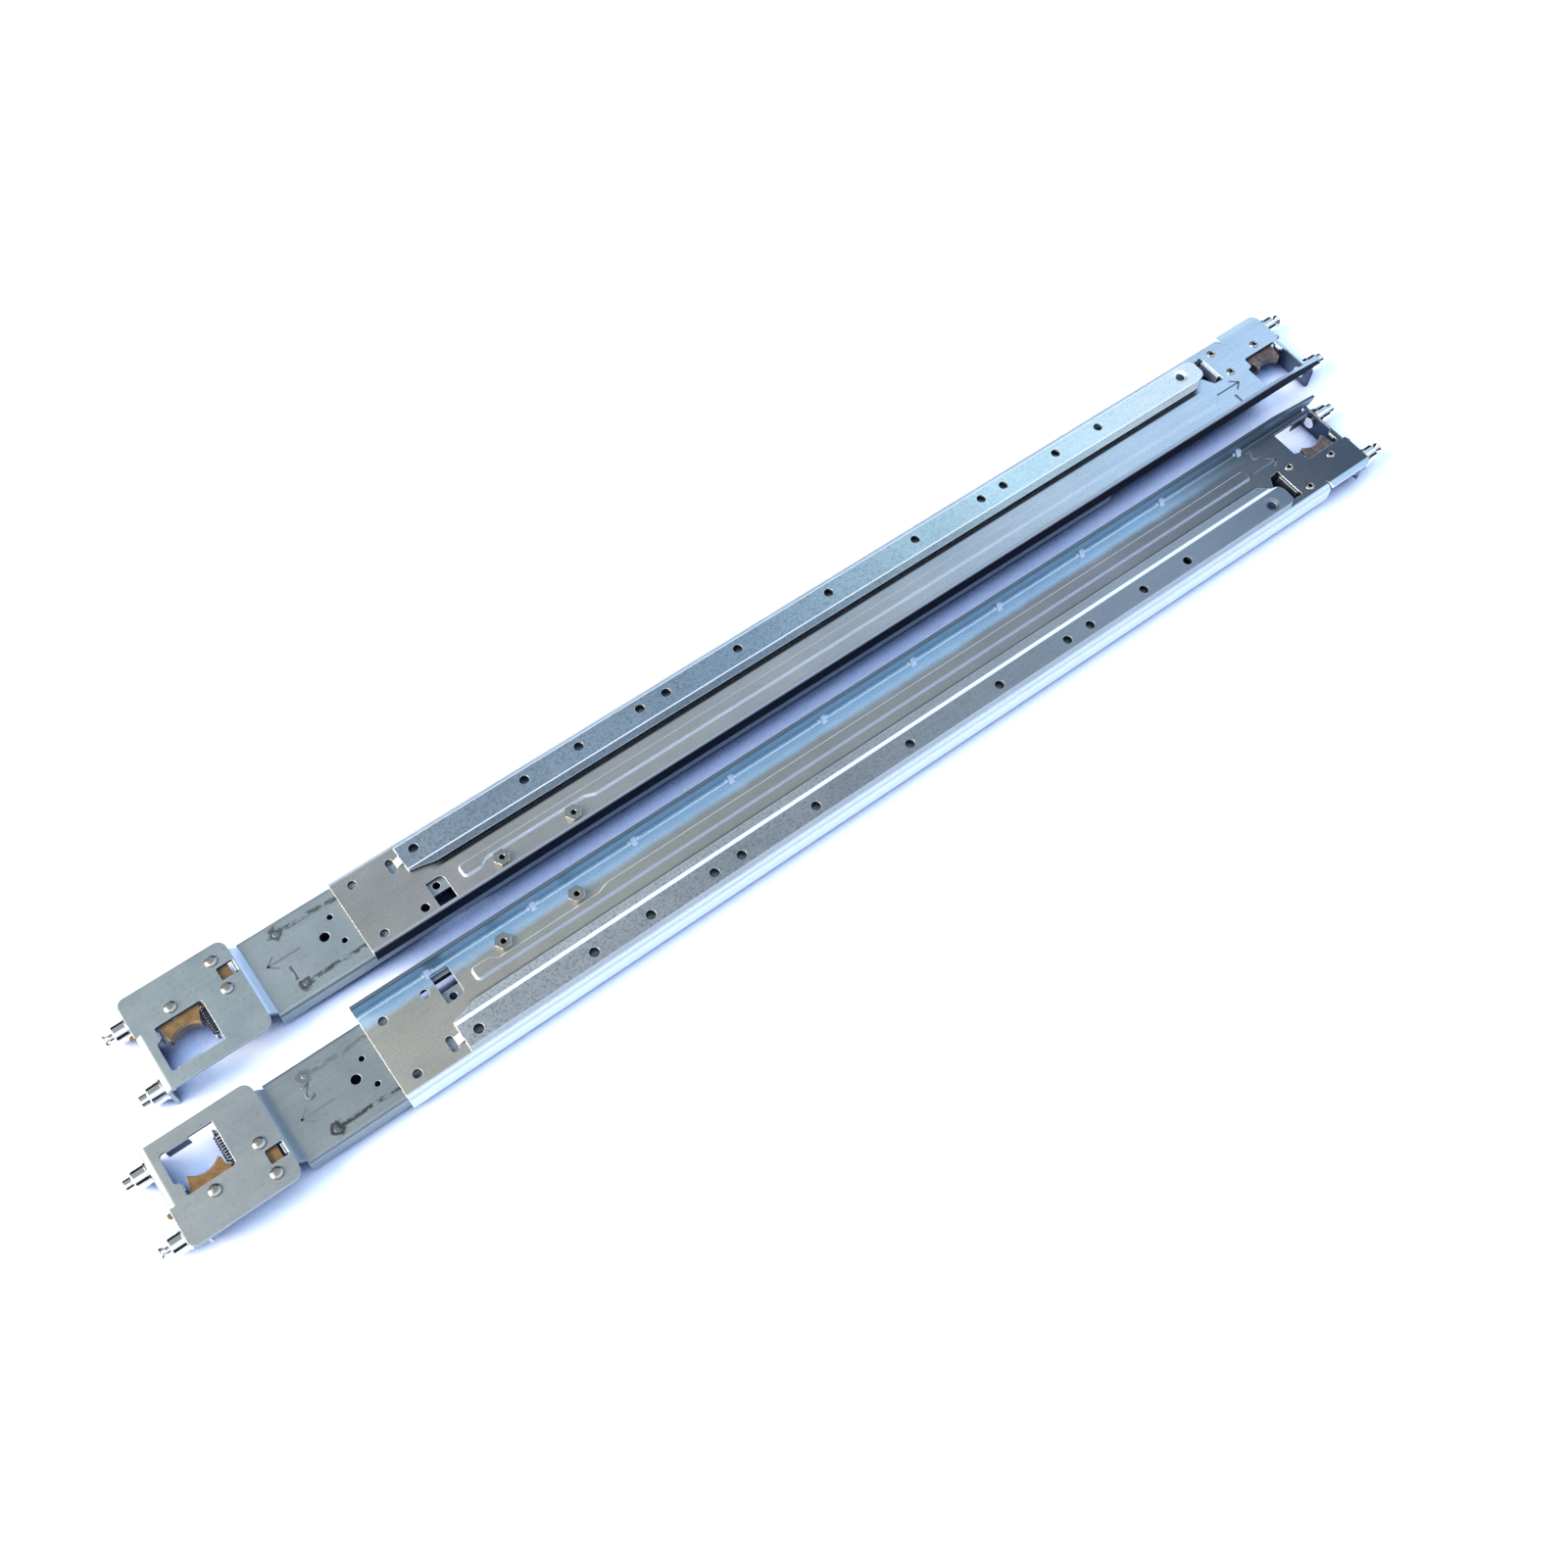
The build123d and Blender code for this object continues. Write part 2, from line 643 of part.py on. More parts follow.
# Front channel: shelf flange up, outer flange down with a return lip, flat front plate
with BuildPart() as front_channel:
    middle = SHEET / 2
    outer = RAIL_WIDTH - middle
    add(section(
        -CHANNEL_LENGTH,
        [(middle, SHELF_HEIGHT), (middle, -middle), (outer, -middle),
         (outer, -CHANNEL_DEPTH + middle), (RAIL_WIDTH - LIP_WIDTH, -CHANNEL_DEPTH + middle)],
        BEND,
        CHANNEL_LENGTH - OPEN_FRONT,
    ))
    add(section(
        -OPEN_FRONT,
        [(middle, SHELF_HEIGHT), (middle, -middle), (RAIL_WIDTH - FRONT_CORNER, -middle)],
        BEND,
        OPEN_FRONT - BEND - middle,
    ))
    flange_end = HOOK_IN - HOOK_CLEARANCE + FRONT.shift
    with BuildSketch(Plane.XY.offset(-SHEET)):
        with BuildLine():
            FilletPolyline(
                (-OPEN_FRONT + 1, flange_end),
                (0, flange_end),
                (0, RAIL_WIDTH),
                (-OPEN_FRONT + 1, RAIL_WIDTH),
                radius=[0, 0.6, FRONT_CORNER, 0.5],
                close=True,
            )
        make_face()
    extrude(amount=SHEET)
    add(at_end(FRONT, end_flange(FRONT)))
    # The shelf flange runs on as a wing past a slit in the bend
    with BuildSketch(Plane.XZ.offset(-SHEET)):
        with BuildLine():
            Polyline(
                (-OPEN_FRONT, SHELF_HEIGHT - 1),
                (-OPEN_FRONT, SHELF_HEIGHT),
                (WING_REACH, SHELF_HEIGHT - WING_DROP),
                (-SHEET, SHEET),
                (-2 * SLIT_LENGTH, SHEET),
                close=True,
            )
        make_face()
    extrude(amount=SHEET)
    with BuildSketch(Plane.XZ.offset(-SHEET - 1)):
        with BuildLine():
            Polyline(
                (-OPEN_FRONT, SHELF_HEIGHT),
                (WING_REACH, SHELF_HEIGHT - WING_DROP),
                (WING_REACH, SHELF_HEIGHT + 1),
                (-OPEN_FRONT, SHELF_HEIGHT + 1),
                close=True,
            )
        make_face()
    extrude(amount=SHEET + 2, mode=Mode.SUBTRACT)
    add(block((-SLIT_LENGTH, -0.5, -SHEET - 0.2), (WING_REACH, SHEET + 0.8, SHEET)), mode=Mode.SUBTRACT)
    # Gusset darts stiffen the bend of the shelf flange
    for i in range(DART_COUNT):
        with BuildSketch(Plane.YZ.offset(DART_REAR + i * DART_PITCH - DART_WIDTH / 2)):
            with BuildLine():
                Polyline(
                    (SHEET - 0.2, -0.2),
                    (SHEET + DART_SIZE, -0.2),
                    (SHEET + DART_SIZE, 0),
                    (SHEET, DART_SIZE),
                    (SHEET - 0.2, DART_SIZE),
                    close=True,
                )
            make_face()
        extrude(amount=DART_WIDTH)
    # Strip and bead are pressed up out of the web
    with BuildSketch(Plane.XY.offset(-SHEET - 0.5)):
        with BuildLine():
            FilletPolyline(
                *strip_edge,
                (STRIP_FRONT - 4, STRIP_IN + 1),
                (STRIP_FRONT - 4, STRIP_OUT),
                radius=[0, 1.0, 4.0, 8.0, 6.0, 1.0, 0, 0],
                close=True,
            )
        make_face()
    extrude(amount=SHEET + 1, mode=Mode.SUBTRACT)
    add(strip.part)
    # The strip's nose ramps down to the web
    with BuildSketch(Plane.XZ.offset(-STRIP_NOSE_IN)):
        with BuildLine():
            Polyline(
                (STRIP_REAR - STRIP_NOSE, -SHEET),
                (STRIP_REAR - STRIP_NOSE, 0),
                (STRIP_REAR, STRIP_RISE),
                (STRIP_REAR + 1, STRIP_RISE),
                (STRIP_REAR + 1, STRIP_RISE - SHEET),
                (STRIP_REAR, STRIP_RISE - SHEET),
                (STRIP_REAR - STRIP_NOSE + 0.6, -SHEET),
                close=True,
            )
        make_face()
    extrude(amount=-STRIP_NOSE_WIDTH)
    add(bead.part)
    with Locations((0, 0, -SHEET)):
        add(bead.part, mode=Mode.SUBTRACT)
    # Holes through the strip, the foremost countersunk
    with BuildSketch(Plane.XY.offset(-SHEET)):
        with Locations(*[(x, STRIP_HOLE_Y) for x in STRIP_HOLES]):
            Circle(STRIP_HOLE_R)
    extrude(amount=SHEET + STRIP_RISE + 1, mode=Mode.SUBTRACT)
    with Locations((TONGUE_HOLE, STRIP_HOLE_Y, STRIP_RISE)):
        Cone(STRIP_HOLE_R, COUNTERSINK_R, COUNTERSINK, align=(Align.CENTER, Align.CENTER, Align.MAX),
             mode=Mode.SUBTRACT)
    # Holes and windows in the web
    with BuildSketch(Plane.XY.offset(-SHEET - 1)):
        with Locations((WEB_HOLE_REAR, WEB_HOLE_OUT), (WEB_HOLE_REAR, STUD_Y), (WEB_HOLE_FRONT, STUD_Y)):
            Circle(WEB_HOLE_R)
        with Locations((REAR_STUD, STUD_Y), (FRONT_STUD, STUD_Y)):
            Circle(STUD_SHANK_R + FIT)
        # A rounded slot behind the strip's nose
        with Locations((STRIP_REAR - STRIP_NOSE - 1.6, STRIP_NOSE_IN + STRIP_NOSE_WIDTH / 2)):
            SlotOverall(NOSE_SLOT_LENGTH, NOSE_SLOT_WIDTH, rotation=90)
        # The D-shaped window over the extension's slot
        with BuildLine():
            FilletPolyline(
                (PEEP_REAR, PEEP_IN), (PEEP_REAR, PEEP_OUT),
                (PEEP_REAR + PEEP_LENGTH, PEEP_OUT), (PEEP_REAR + PEEP_LENGTH, PEEP_IN),
                radius=[0.5, 0.8, 2.5, 0.5],
                close=True,
            )
        make_face()
        # The T-shaped window at the end of the strip's tongue
        with BuildLine():
            FilletPolyline(
                (STOP_SHOULDER, STOP_IN), (STOP_FRONT, STOP_IN), (STOP_FRONT, STOP_OUT),
                (STOP_REAR, STOP_OUT), (STOP_REAR, STRIP_IN + 1.9),
                radius=[0.8, 0.8, 0.8, 0.5, 1.5],
                close=True,
            )
        make_face()
        with Locations((STOP_FRONT - 1.1, STOP_IN + 0.7), (STOP_FRONT - 1.1, STOP_OUT - 0.7)):
            Circle(STOP_RELIEF_R)
    extrude(amount=SHEET + 1.3, mode=Mode.SUBTRACT)
    # The stop tab of the lever bends down at the front side of the T-window
    add(block(
        (STOP_FRONT - SHEET, STOP_IN + 2.4, -SHEET - TAB_DEPTH),
        (STOP_FRONT + 0.1, STOP_OUT - 2.2, -0.3),
    ))
    add(at_end(FRONT, window_cutter(FRONT)), mode=Mode.SUBTRACT)
    add(at_end(FRONT, rivet_holes(FRONT)), mode=Mode.SUBTRACT)
    add(at_end(FRONT, plate_tabs(FRONT)))
export_pair("front_channel", front_channel.part)

# Slide studs: hex head above the web, shoulder in the extension's slot, riveted washer below
with BuildPart() as stud:
    with BuildSketch(Plane.XY):
        RegularPolygon(STUD_HEX / 2, 6, major_radius=False)
    extrude(amount=STUD_HEAD)
    chamfer(stud.faces().sort_by(Axis.Z)[-1].edges(), 0.3)
    Cylinder(STUD_SHANK_R, SHEET, align=(Align.CENTER, Align.CENTER, Align.MAX))
    with Locations((0, 0, -SHEET)):
        Cylinder(STUD_SHOULDER_R, -SHEET - STUD_FOOT, align=(Align.CENTER, Align.CENTER, Align.MAX))
    with Locations((0, 0, STUD_FOOT)):
        Cylinder(STUD_TAIL_R, WASHER_THICKNESS + 0.6, align=(Align.CENTER, Align.CENTER, Align.MAX))
    with Locations((0, 0, STUD_FOOT - WASHER_THICKNESS)):
        Cylinder(STUD_TAIL_R + 0.8, 0.6, align=(Align.CENTER, Align.CENTER, Align.MAX))
    Cylinder(STUD_BORE_R, 4 * CHANNEL_DEPTH, mode=Mode.SUBTRACT)
with BuildPart() as slide_studs:
    for x in (REAR_STUD, FRONT_STUD):
        with Locations((x, STUD_Y, 0)):
            add(stud.part)
export_pair("slide_studs", slide_studs.part)

with BuildPart() as stud_washers:
    with BuildSketch(Plane.XY.offset(STUD_FOOT - WASHER_THICKNESS)):
        with Locations((REAR_STUD, STUD_Y), (FRONT_STUD, STUD_Y)):
            Circle(WASHER_R)
            Circle(STUD_TAIL_R + FIT, mode=Mode.SUBTRACT)
    extrude(amount=WASHER_THICKNESS)
export_pair("stud_washers", stud_washers.part)

# Rear extension: shallow channel that slides in the front one, a jog and the rear end plate
with BuildPart() as rear_extension:
    middle = SHEET / 2
    top = EXTENSION_TOP - middle
    add(section(
        JOG_FRONT,
        [(EXTENSION_IN + middle, EXTENSION_FOOT), (EXTENSION_IN + middle, top),
         (EXTENSION_OUT - middle, top), (EXTENSION_OUT - middle, EXTENSION_FOOT)],
        SLIDE_BEND,
        EXTENSION_FRONT - JOG_FRONT,
    ))
    with BuildSketch(Plane.XZ.offset(-EXTENSION_IN - BEND)):
        with BuildLine():
            FilletPolyline(
                (JOG_FRONT + 2, top),
                (JOG_FRONT, top),
                (JOG_FRONT - JOG_LENGTH, REAR_TOP - middle),
                (JOG_FRONT - JOG_LENGTH - 3, REAR_TOP - middle),
                radius=1.5,
            )
        trace(line_width=SHEET)
    extrude(amount=-(EXTENSION_OUT - EXTENSION_IN - 2 * BEND))
    flange_end = HOOK_IN - HOOK_CLEARANCE
    plate_front = JOG_FRONT - JOG_LENGTH
    with BuildSketch(Plane.XY.offset(REAR_TOP - SHEET)):
        with BuildLine():
            FilletPolyline(
                (REAR_FACE + BEND + middle, 0),
                (plate_front, 0),
                (plate_front, REAR_WIDTH),
                (REAR_FACE, REAR_WIDTH),
                (REAR_FACE, flange_end),
                (REAR_FACE + BEND + middle, flange_end),
                radius=[0, REAR_CORNER, REAR_CORNER, REAR_TAIL_CORNER, 0.6, 0],
                close=True,
            )
        make_face()
    extrude(amount=SHEET)
    add(at_end(REAR, end_flange(REAR)))
    # The slot runs on the slide studs, and its ends stop the slide
    with BuildSketch(Plane.XY.offset(EXTENSION_TOP - SHEET - 1)):
        with Locations(((SLOT_REAR + SLOT_FRONT) / 2, STUD_Y)):
            SlotOverall(SLOT_FRONT - SLOT_REAR, 2 * SLOT_R)
        with Locations((PEEP_HOLE, PEEP_HOLE_Y)):
            Circle(PEEP_HOLE_R)
        with Locations(*[(TOOL_HOLES_X, y) for y in TOOL_HOLES_Y]):
            Circle(TOOL_HOLE_R)
        with Locations((LARGE_HOLE_X, LARGE_HOLE_Y)):
            Circle(LARGE_HOLE_R)
    extrude(amount=SHEET + 2, mode=Mode.SUBTRACT)
    # Dimples drag on the web and hold the slide where it is put
    with Locations(*[(DIMPLE_X, y, EXTENSION_TOP - SHEET / 2) for y in (DIMPLE_IN, DIMPLE_OUT)]):
        Cone(DIMPLE_R, DIMPLE_R - 1.2, DIMPLE_RISE + SHEET / 2, align=(Align.CENTER, Align.CENTER, Align.MIN))
    with BuildSketch(Plane.XY.offset(REAR_TOP - SHEET - 1)):
        with Locations((SQUARE_X, SQUARE_Y)):
            RectangleRounded(SQUARE_LENGTH, SQUARE_WIDTH, 0.9)
    extrude(amount=SHEET + 2, mode=Mode.SUBTRACT)
    tab_front = SQUARE_X + SQUARE_LENGTH / 2 + 0.1
    add(block(
        (tab_front - SQUARE_TAB_SHEET, SQUARE_Y - SQUARE_TAB / 2, REAR_TOP - SHEET - TAB_DEPTH),
        (tab_front, SQUARE_Y + SQUARE_TAB / 2, REAR_TOP - 0.3),
    ))
    add(at_end(REAR, window_cutter(REAR)), mode=Mode.SUBTRACT)
    add(at_end(REAR, rivet_holes(REAR)), mode=Mode.SUBTRACT)
    add(at_end(REAR, plate_tabs(REAR)))
export_pair("rear_extension", rear_extension.part)

for end in (REAR, FRONT):
    export_pair(f"{end.name}_latch_bracket", at_end(end, bracket(end)))
    export_pair(f"{end.name}_latch_rivets", at_end(end, rivets(end)))
    export_pair(f"{end.name}_latch_lever", at_end(end, lever(end)))
    export_pair(f"{end.name}_latch_spring", at_end(end, spring(end)))
    export_pair(f"{end.name}_inner_pin", at_end(end, inner_pin(end)))
    export_pair(f"{end.name}_outer_pin", at_end(end, outer_pin(end)))
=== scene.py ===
import math
import bpy
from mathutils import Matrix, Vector


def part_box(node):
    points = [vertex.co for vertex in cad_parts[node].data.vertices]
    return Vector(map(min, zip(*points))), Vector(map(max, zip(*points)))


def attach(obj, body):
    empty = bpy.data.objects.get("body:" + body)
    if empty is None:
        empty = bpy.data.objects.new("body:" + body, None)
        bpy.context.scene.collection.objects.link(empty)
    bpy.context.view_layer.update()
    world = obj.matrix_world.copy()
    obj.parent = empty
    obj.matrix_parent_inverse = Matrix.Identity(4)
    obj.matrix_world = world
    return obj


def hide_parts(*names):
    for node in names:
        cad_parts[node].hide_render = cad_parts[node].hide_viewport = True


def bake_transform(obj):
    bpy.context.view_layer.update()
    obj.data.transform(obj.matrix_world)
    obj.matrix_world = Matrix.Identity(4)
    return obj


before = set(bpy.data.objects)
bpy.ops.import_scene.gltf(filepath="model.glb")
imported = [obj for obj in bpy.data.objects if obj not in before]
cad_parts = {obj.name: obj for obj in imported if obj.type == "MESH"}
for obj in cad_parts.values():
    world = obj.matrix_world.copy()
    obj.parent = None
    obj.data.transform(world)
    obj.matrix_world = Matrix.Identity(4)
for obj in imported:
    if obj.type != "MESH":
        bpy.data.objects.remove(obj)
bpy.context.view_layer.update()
bpy.ops.object.select_all(action="DESELECT")


# Front channels: the main rail of each side, bent from 1.5 mm hot-dip galvanised sheet. The strip, the
# bead and the gusset darts are pressed up, and the holes and windows punched, before it is bent.
class Socket:
    """A shader value: arithmetic on it adds Math nodes."""

    def __init__(self, shading, link):
        self.shading = shading
        self.link = link

    def math(self, operation, *others):
        return self.shading.node("ShaderNodeMath", [self, *others], operation=operation)

    def __add__(self, other):
        return self.math("ADD", other)

    def __sub__(self, other):
        return self.math("SUBTRACT", other)

    def __rsub__(self, other):
        return self.shading.node("ShaderNodeMath", [other, self], operation="SUBTRACT")

    def __mul__(self, other):
        return self.math("MULTIPLY", other)

    def __abs__(self):
        return self.math("ABSOLUTE")

    __radd__ = __add__
    __rmul__ = __mul__

    def step(self, low, high):
        """0 below low, 1 above high, with a soft step between; the other way round if low is the larger."""
        values = {"Value": self, "From Min": low, "From Max": high}
        return self.shading.node("ShaderNodeMapRange", values, interpolation_type="SMOOTHSTEP")

    def within(self, low, full_low, full_high, high):
        """1 between the two inner values, 0 outside the two outer ones."""
        return self.step(low, full_low) * self.step(high, full_high)


class Shading:
    """A tree of shader nodes."""

    def __init__(self, tree):
        self.tree = tree

    def node(self, kind, values=(), out=0, stops=(), **settings):
        made = self.tree.nodes.new(kind)
        for name, value in settings.items():
            setattr(made, name, value)
        for i, (place, colour) in enumerate(stops):
            point = made.color_ramp.elements[i] if i < 2 else made.color_ramp.elements.new(place)
            point.position = place
            point.color = (*colour, 1)
        for key, value in values.items() if isinstance(values, dict) else enumerate(values):
            self.feed(made.inputs[key], value)
        return Socket(self, made.outputs[out])

    def feed(self, socket, value):
        if isinstance(value, Socket):
            self.tree.links.new(value.link, socket)
        elif socket.type == "RGBA" and len(value) == 3:
            socket.default_value = (*value, 1)
        else:
            socket.default_value = value

    def place(self, scale=(1, 1, 1)):
        """Object coordinates, scaled."""
        coordinates = self.node("ShaderNodeTexCoord", out=3)
        return self.node("ShaderNodeMapping", {"Vector": coordinates, "Scale": scale})

    def facing(self):
        """The three parts of the surface's own normal."""
        return self.split(self.node("ShaderNodeNewGeometry", out=1))

    def openness(self, distance, samples):
        """How much of the surroundings within the distance is free."""
        return self.node("ShaderNodeAmbientOcclusion", {"Distance": distance}, out=1, samples=samples)

    def rays(self):
        """Masks of the camera's rays and of those that reflections and glass send on."""
        outputs = self.node("ShaderNodeLightPath").link.node.outputs
        names = ("Is Camera Ray", "Is Glossy Ray", "Is Transmission Ray")
        return [Socket(self, outputs[name]) for name in names]

    def split(self, vector):
        outputs = self.node("ShaderNodeSeparateXYZ", [vector]).link.node.outputs
        return [Socket(self, outputs[i]) for i in range(3)]

    def noise(self, vector, scale, detail=3.0, roughness=0.55):
        values = {"Vector": vector, "Scale": scale, "Detail": detail, "Roughness": roughness}
        return self.node("ShaderNodeTexNoise", values)

    def mix(self, factor, a, b, blend="MIX"):
        return self.node("ShaderNodeMix", {0: factor, 6: a, 7: b}, out=2, data_type="RGBA", blend_type=blend)

    def ramp(self, factor, *stops):
        return self.node("ShaderNodeValToRGB", [factor], stops=stops)


class Paint(Shading):
    """A material on the Principled shader."""

    def __init__(self, name, **constants):
        self.material = bpy.data.materials.new(name)
        self.material.use_nodes = True
        super().__init__(self.material.node_tree)
        self.shader = self.tree.nodes["Principled BSDF"]
        for socket, value in constants.items():
            self.shader.inputs[socket.replace("_", " ")].default_value = value

    def edges(self, radius):
        """The rounded normal and a mask of the edges that it rounds."""
        rounded = self.node("ShaderNodeBevel", {"Radius": radius}, samples=6)
        flat = self.node("ShaderNodeNewGeometry", out=1)
        facing = self.node("ShaderNodeVectorMath", [rounded, flat], out=1, operation="DOT_PRODUCT")
        return rounded, (1 - facing).step(0.006, 0.09)

    def finish(self, colour, roughness, height, bump=0.2, normal=None, metal=None):
        self.feed(self.shader.inputs["Base Color"], colour)
        self.feed(self.shader.inputs["Roughness"], roughness)
        if metal:
            self.feed(self.shader.inputs["Metallic"], metal)
        values = {"Height": height, "Strength": bump, "Distance": 0.0002}
        if normal:
            values["Normal"] = normal
        self.feed(self.shader.inputs["Normal"], self.node("ShaderNodeBump", values))
        return self.material


SIDES = ("right", "left")
ENDS = ("rear", "front")
LEFT_BACK = 0.0198  # the left rail lies this much further back
DARTS_PER_METRE = 19.685
DART_PHASE = 4.061

# Regions of a channel, with soft edges: across it from the pair's middle line, along it from the pair's
# middle, and up from the table, in metres
LIP_SHADOW = (0.0290, 0.0299, 0.0345, 0.0352)
LIP_LENGTH = (-0.176, -0.168, 0.265, 0.271)
STRIP = (0.0309, 0.0313, 0.0480, 0.0487)
CREASE = (0.0465, 0.0470, 0.0487, 0.0492)
BEAD = (0.0150, 0.0160, 0.0262, 0.0270)
HOLES = (0.0105, 0.0112, 0.0490, 0.0497)
FOLD_SOFTNESS = 0.0002
EDGE_ROUND = 0.0004  # radius of the sheet's worn edges

# Tones: a painted highlight, the sheet's pits, and painted shade in cavities, on hole walls, under the lip and
# inside the end flange
SHEET_HIGHLIGHT = (0.90, 0.95, 1.0)
PITTED = (0.14, 0.17, 0.20)
CAVITY_SHADE = (0.006, 0.008, 0.012)
HOLE_SHADE_TONE = (0.01, 0.012, 0.016)
LIP_SHADE_TONE = (0.003, 0.004, 0.007)
FLANGE_INSIDE_SHADE = (0.035, 0.06, 0.12)


def shade_cavities(paint, colour):
    """Paint shade on what lies deep in a hole or between two sheets."""
    open_side = paint.openness(0.012, 8)
    return paint.mix(0.95 * open_side.step(0.36, 0.16), colour, CAVITY_SHADE)


def zinc_sheet(
    name, gapward, set_back, web, strip, band_reflection, bend_highlight, fold, flange_back_shade, flange_front_light_and_shade, flange_top_light_and_shade, gap_shade
):
    """Galvanised sheet. Its tones run along the rail from the rear to the front, and the strip has its own;
    they paint in reflections, highlights and shade.
    """
    zinc = Paint(name)
    surface = zinc.place()
    x, y, z = zinc.split(surface)
    facing_x, facing_y, facing_z = zinc.facing()
    grain = zinc.noise(surface, 1500, 2.0)
    speckle = zinc.noise(surface, 1000, 3.0, 0.7)
    cloud = zinc.noise(surface, 42, 4.0)
    brushed = zinc.noise(zinc.place((0.04, 1, 1)), 620, 3.0)
    along = 1.55 * x + 0.5
    across = abs(y)
    from_middle = x + set_back

    # tones of the flat sheet, with painted reflection and shade that change along the rail
    colour = zinc.ramp(along, *web)
    # painted reflection: a light blue band on the web beside the shelf flange
    if band_reflection:
        beside_flange = across.step(0.0172 + 0.004 * (cloud - 0.5), 0.0136) * from_middle.step(0.29, 0.20)
        colour = zinc.mix(beside_flange, colour, band_reflection)
    # painted shadow: the web goes nearly black under the lip's edge
    under_lip = across.within(*LIP_SHADOW) * z.step(0.0134, 0.0131) * from_middle.within(*LIP_LENGTH)
    colour = zinc.mix(gap_shade * under_lip, colour, LIP_SHADE_TONE)
    # the strip's own tones, lighter towards the front on the right rail and darker on the left: painted
    # highlight and shade
    on_strip = across.within(*STRIP) * z.step(0.0131, 0.0136)
    colour = zinc.mix(on_strip, colour, zinc.ramp(along, *strip))
    # painted highlight on the outer bend
    beyond = across.step(0.0484, 0.0491)
    colour = zinc.mix(beyond, colour, bend_highlight)
    shade = 0.70 + 0.30 * cloud + 0.20 * brushed + 0.16 * grain
    colour = zinc.mix(1.0, colour, shade, "MULTIPLY")
    pits = speckle.step(0.47, 0.63) * (0.18 + 0.42 * on_strip * from_middle.step(0.20, -0.05))
    colour = zinc.mix(pits, colour, PITTED)

    # painted light and shade on the shelf flange and its top, and painted shade on the walls of holes, in
    # cavities and inside the end flange
    standing = facing_z.step(0.25, 0.10) * z.step(0.0125, 0.0132)
    # painted light and shade on the shelf flange's faces, each rail its own tone
    colour = zinc.mix(across.step(0.0098, 0.0092) * standing, colour, flange_front_light_and_shade)
    # painted shade: the flange's face towards the gap is made darker
    back = across.step(0.0108, 0.0104) * (gapward * facing_y).step(0.05, 0.30)
    colour = zinc.mix(back, colour, flange_back_shade)
    # painted shade on the walls of holes, except those that face the lamp
    shaded_hole_wall = abs(facing_z).step(0.12, 0.03) * across.within(*HOLES) * facing_x.step(-0.9, -0.3)
    colour = zinc.mix(0.95 * shaded_hole_wall, colour, HOLE_SHADE_TONE)
    colour = shade_cavities(zinc, colour)
    # painted shade on the inside of the front end flange
    inside = from_middle.step(0.316, 0.320) * z.step(0.0122, 0.0112)
    inside = inside * across.step(0.0475, 0.0465) * facing_x.step(0.6, 0.3)
    colour = zinc.mix(0.85 * inside, colour, FLANGE_INSIDE_SHADE)
    # painted light and shade on the flange's top edge: light on the right rail, dark on the left
    flange_top = z.step(0.0206, 0.0212)
    colour = zinc.mix(0.8 * flange_top, colour, flange_top_light_and_shade)

    # painted highlights: bright lines along edges, pressings and folds, and a light outer side wall; there the
    # metal is also made less metallic
    rounded, edge = zinc.edges(EDGE_ROUND)
    pressed = facing_z.within(0.15, 0.35, 0.90, 0.965) * z.step(0.0128, 0.0131)
    bead = pressed * across.within(*BEAD)
    in_pitch = (from_middle * DARTS_PER_METRE + DART_PHASE).math("FRACT")
    dart = facing_z.within(0.1, 0.25, 0.95, 0.990) * z.step(0.0127, 0.0130)
    dart = dart * across.step(0.0130, 0.0124) * abs(in_pitch - 0.5).step(0.060, 0.050)
    crease = pressed * across.within(*CREASE) * abs(facing_x).step(0.3, 0.1)
    fold_in, fold_out = fold
    rolled = across.within(fold_in - FOLD_SOFTNESS, fold_in, fold_out, fold_out + FOLD_SOFTNESS)
    rolled = rolled * z.step(0.0137, 0.0140)
    side_wall = beyond * facing_z.step(0.995, 0.85) * z.step(0.0010, 0.0016)
    light = 0.75 * edge * (1 - flange_top)
    for mask, strength in ((bead, 0.9), (dart, 0.95), (crease, 0.6), (rolled, 0.9), (side_wall, 0.75)):
        light = light.math("MAXIMUM", strength * mask)
    light = light * (1 - back) * (1 - inside)
    colour = zinc.mix(light, colour, SHEET_HIGHLIGHT)
    roughness = 0.30 + 0.14 * cloud + 0.12 * grain - 0.1 * edge + 0.35 * back
    return zinc.finish(colour, roughness, 0.5 * grain + 0.5 * brushed, 0.10, rounded, 0.85 - 0.6 * light)


def dress(material, *names):
    """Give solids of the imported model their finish."""
    for name in names:
        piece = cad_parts[name]
        piece.data.materials.clear()
        piece.data.materials.append(material)


# Each rail's tones carry painted reflection and shade: the right web turns light blue towards the front, the
# left one dark.
right_zinc = zinc_sheet(
    "right_channel_zinc", -1, 0.0,
    web=[
        (0.0, (0.36, 0.36, 0.35)), (0.4, (0.40, 0.415, 0.41)), (0.57, (0.43, 0.47, 0.49)),
        (0.80, (0.60, 0.72, 0.80)), (0.97, (0.62, 0.76, 0.88)),
    ],
    strip=[
        (0.1, (0.31, 0.38, 0.45)), (0.5, (0.30, 0.41, 0.50)), (0.75, (0.72, 0.95, 0.98)),
        (1.0, (0.98, 1.0, 1.0)),
    ],
    band_reflection=None, bend_highlight=(0.74, 0.88, 0.96), fold=(0.0353, 0.0357),
    flange_back_shade=(0.006, 0.012, 0.035), flange_front_light_and_shade=(0.40, 0.45, 0.50), flange_top_light_and_shade=(0.45, 0.50, 0.58),
    gap_shade=0.92,
)
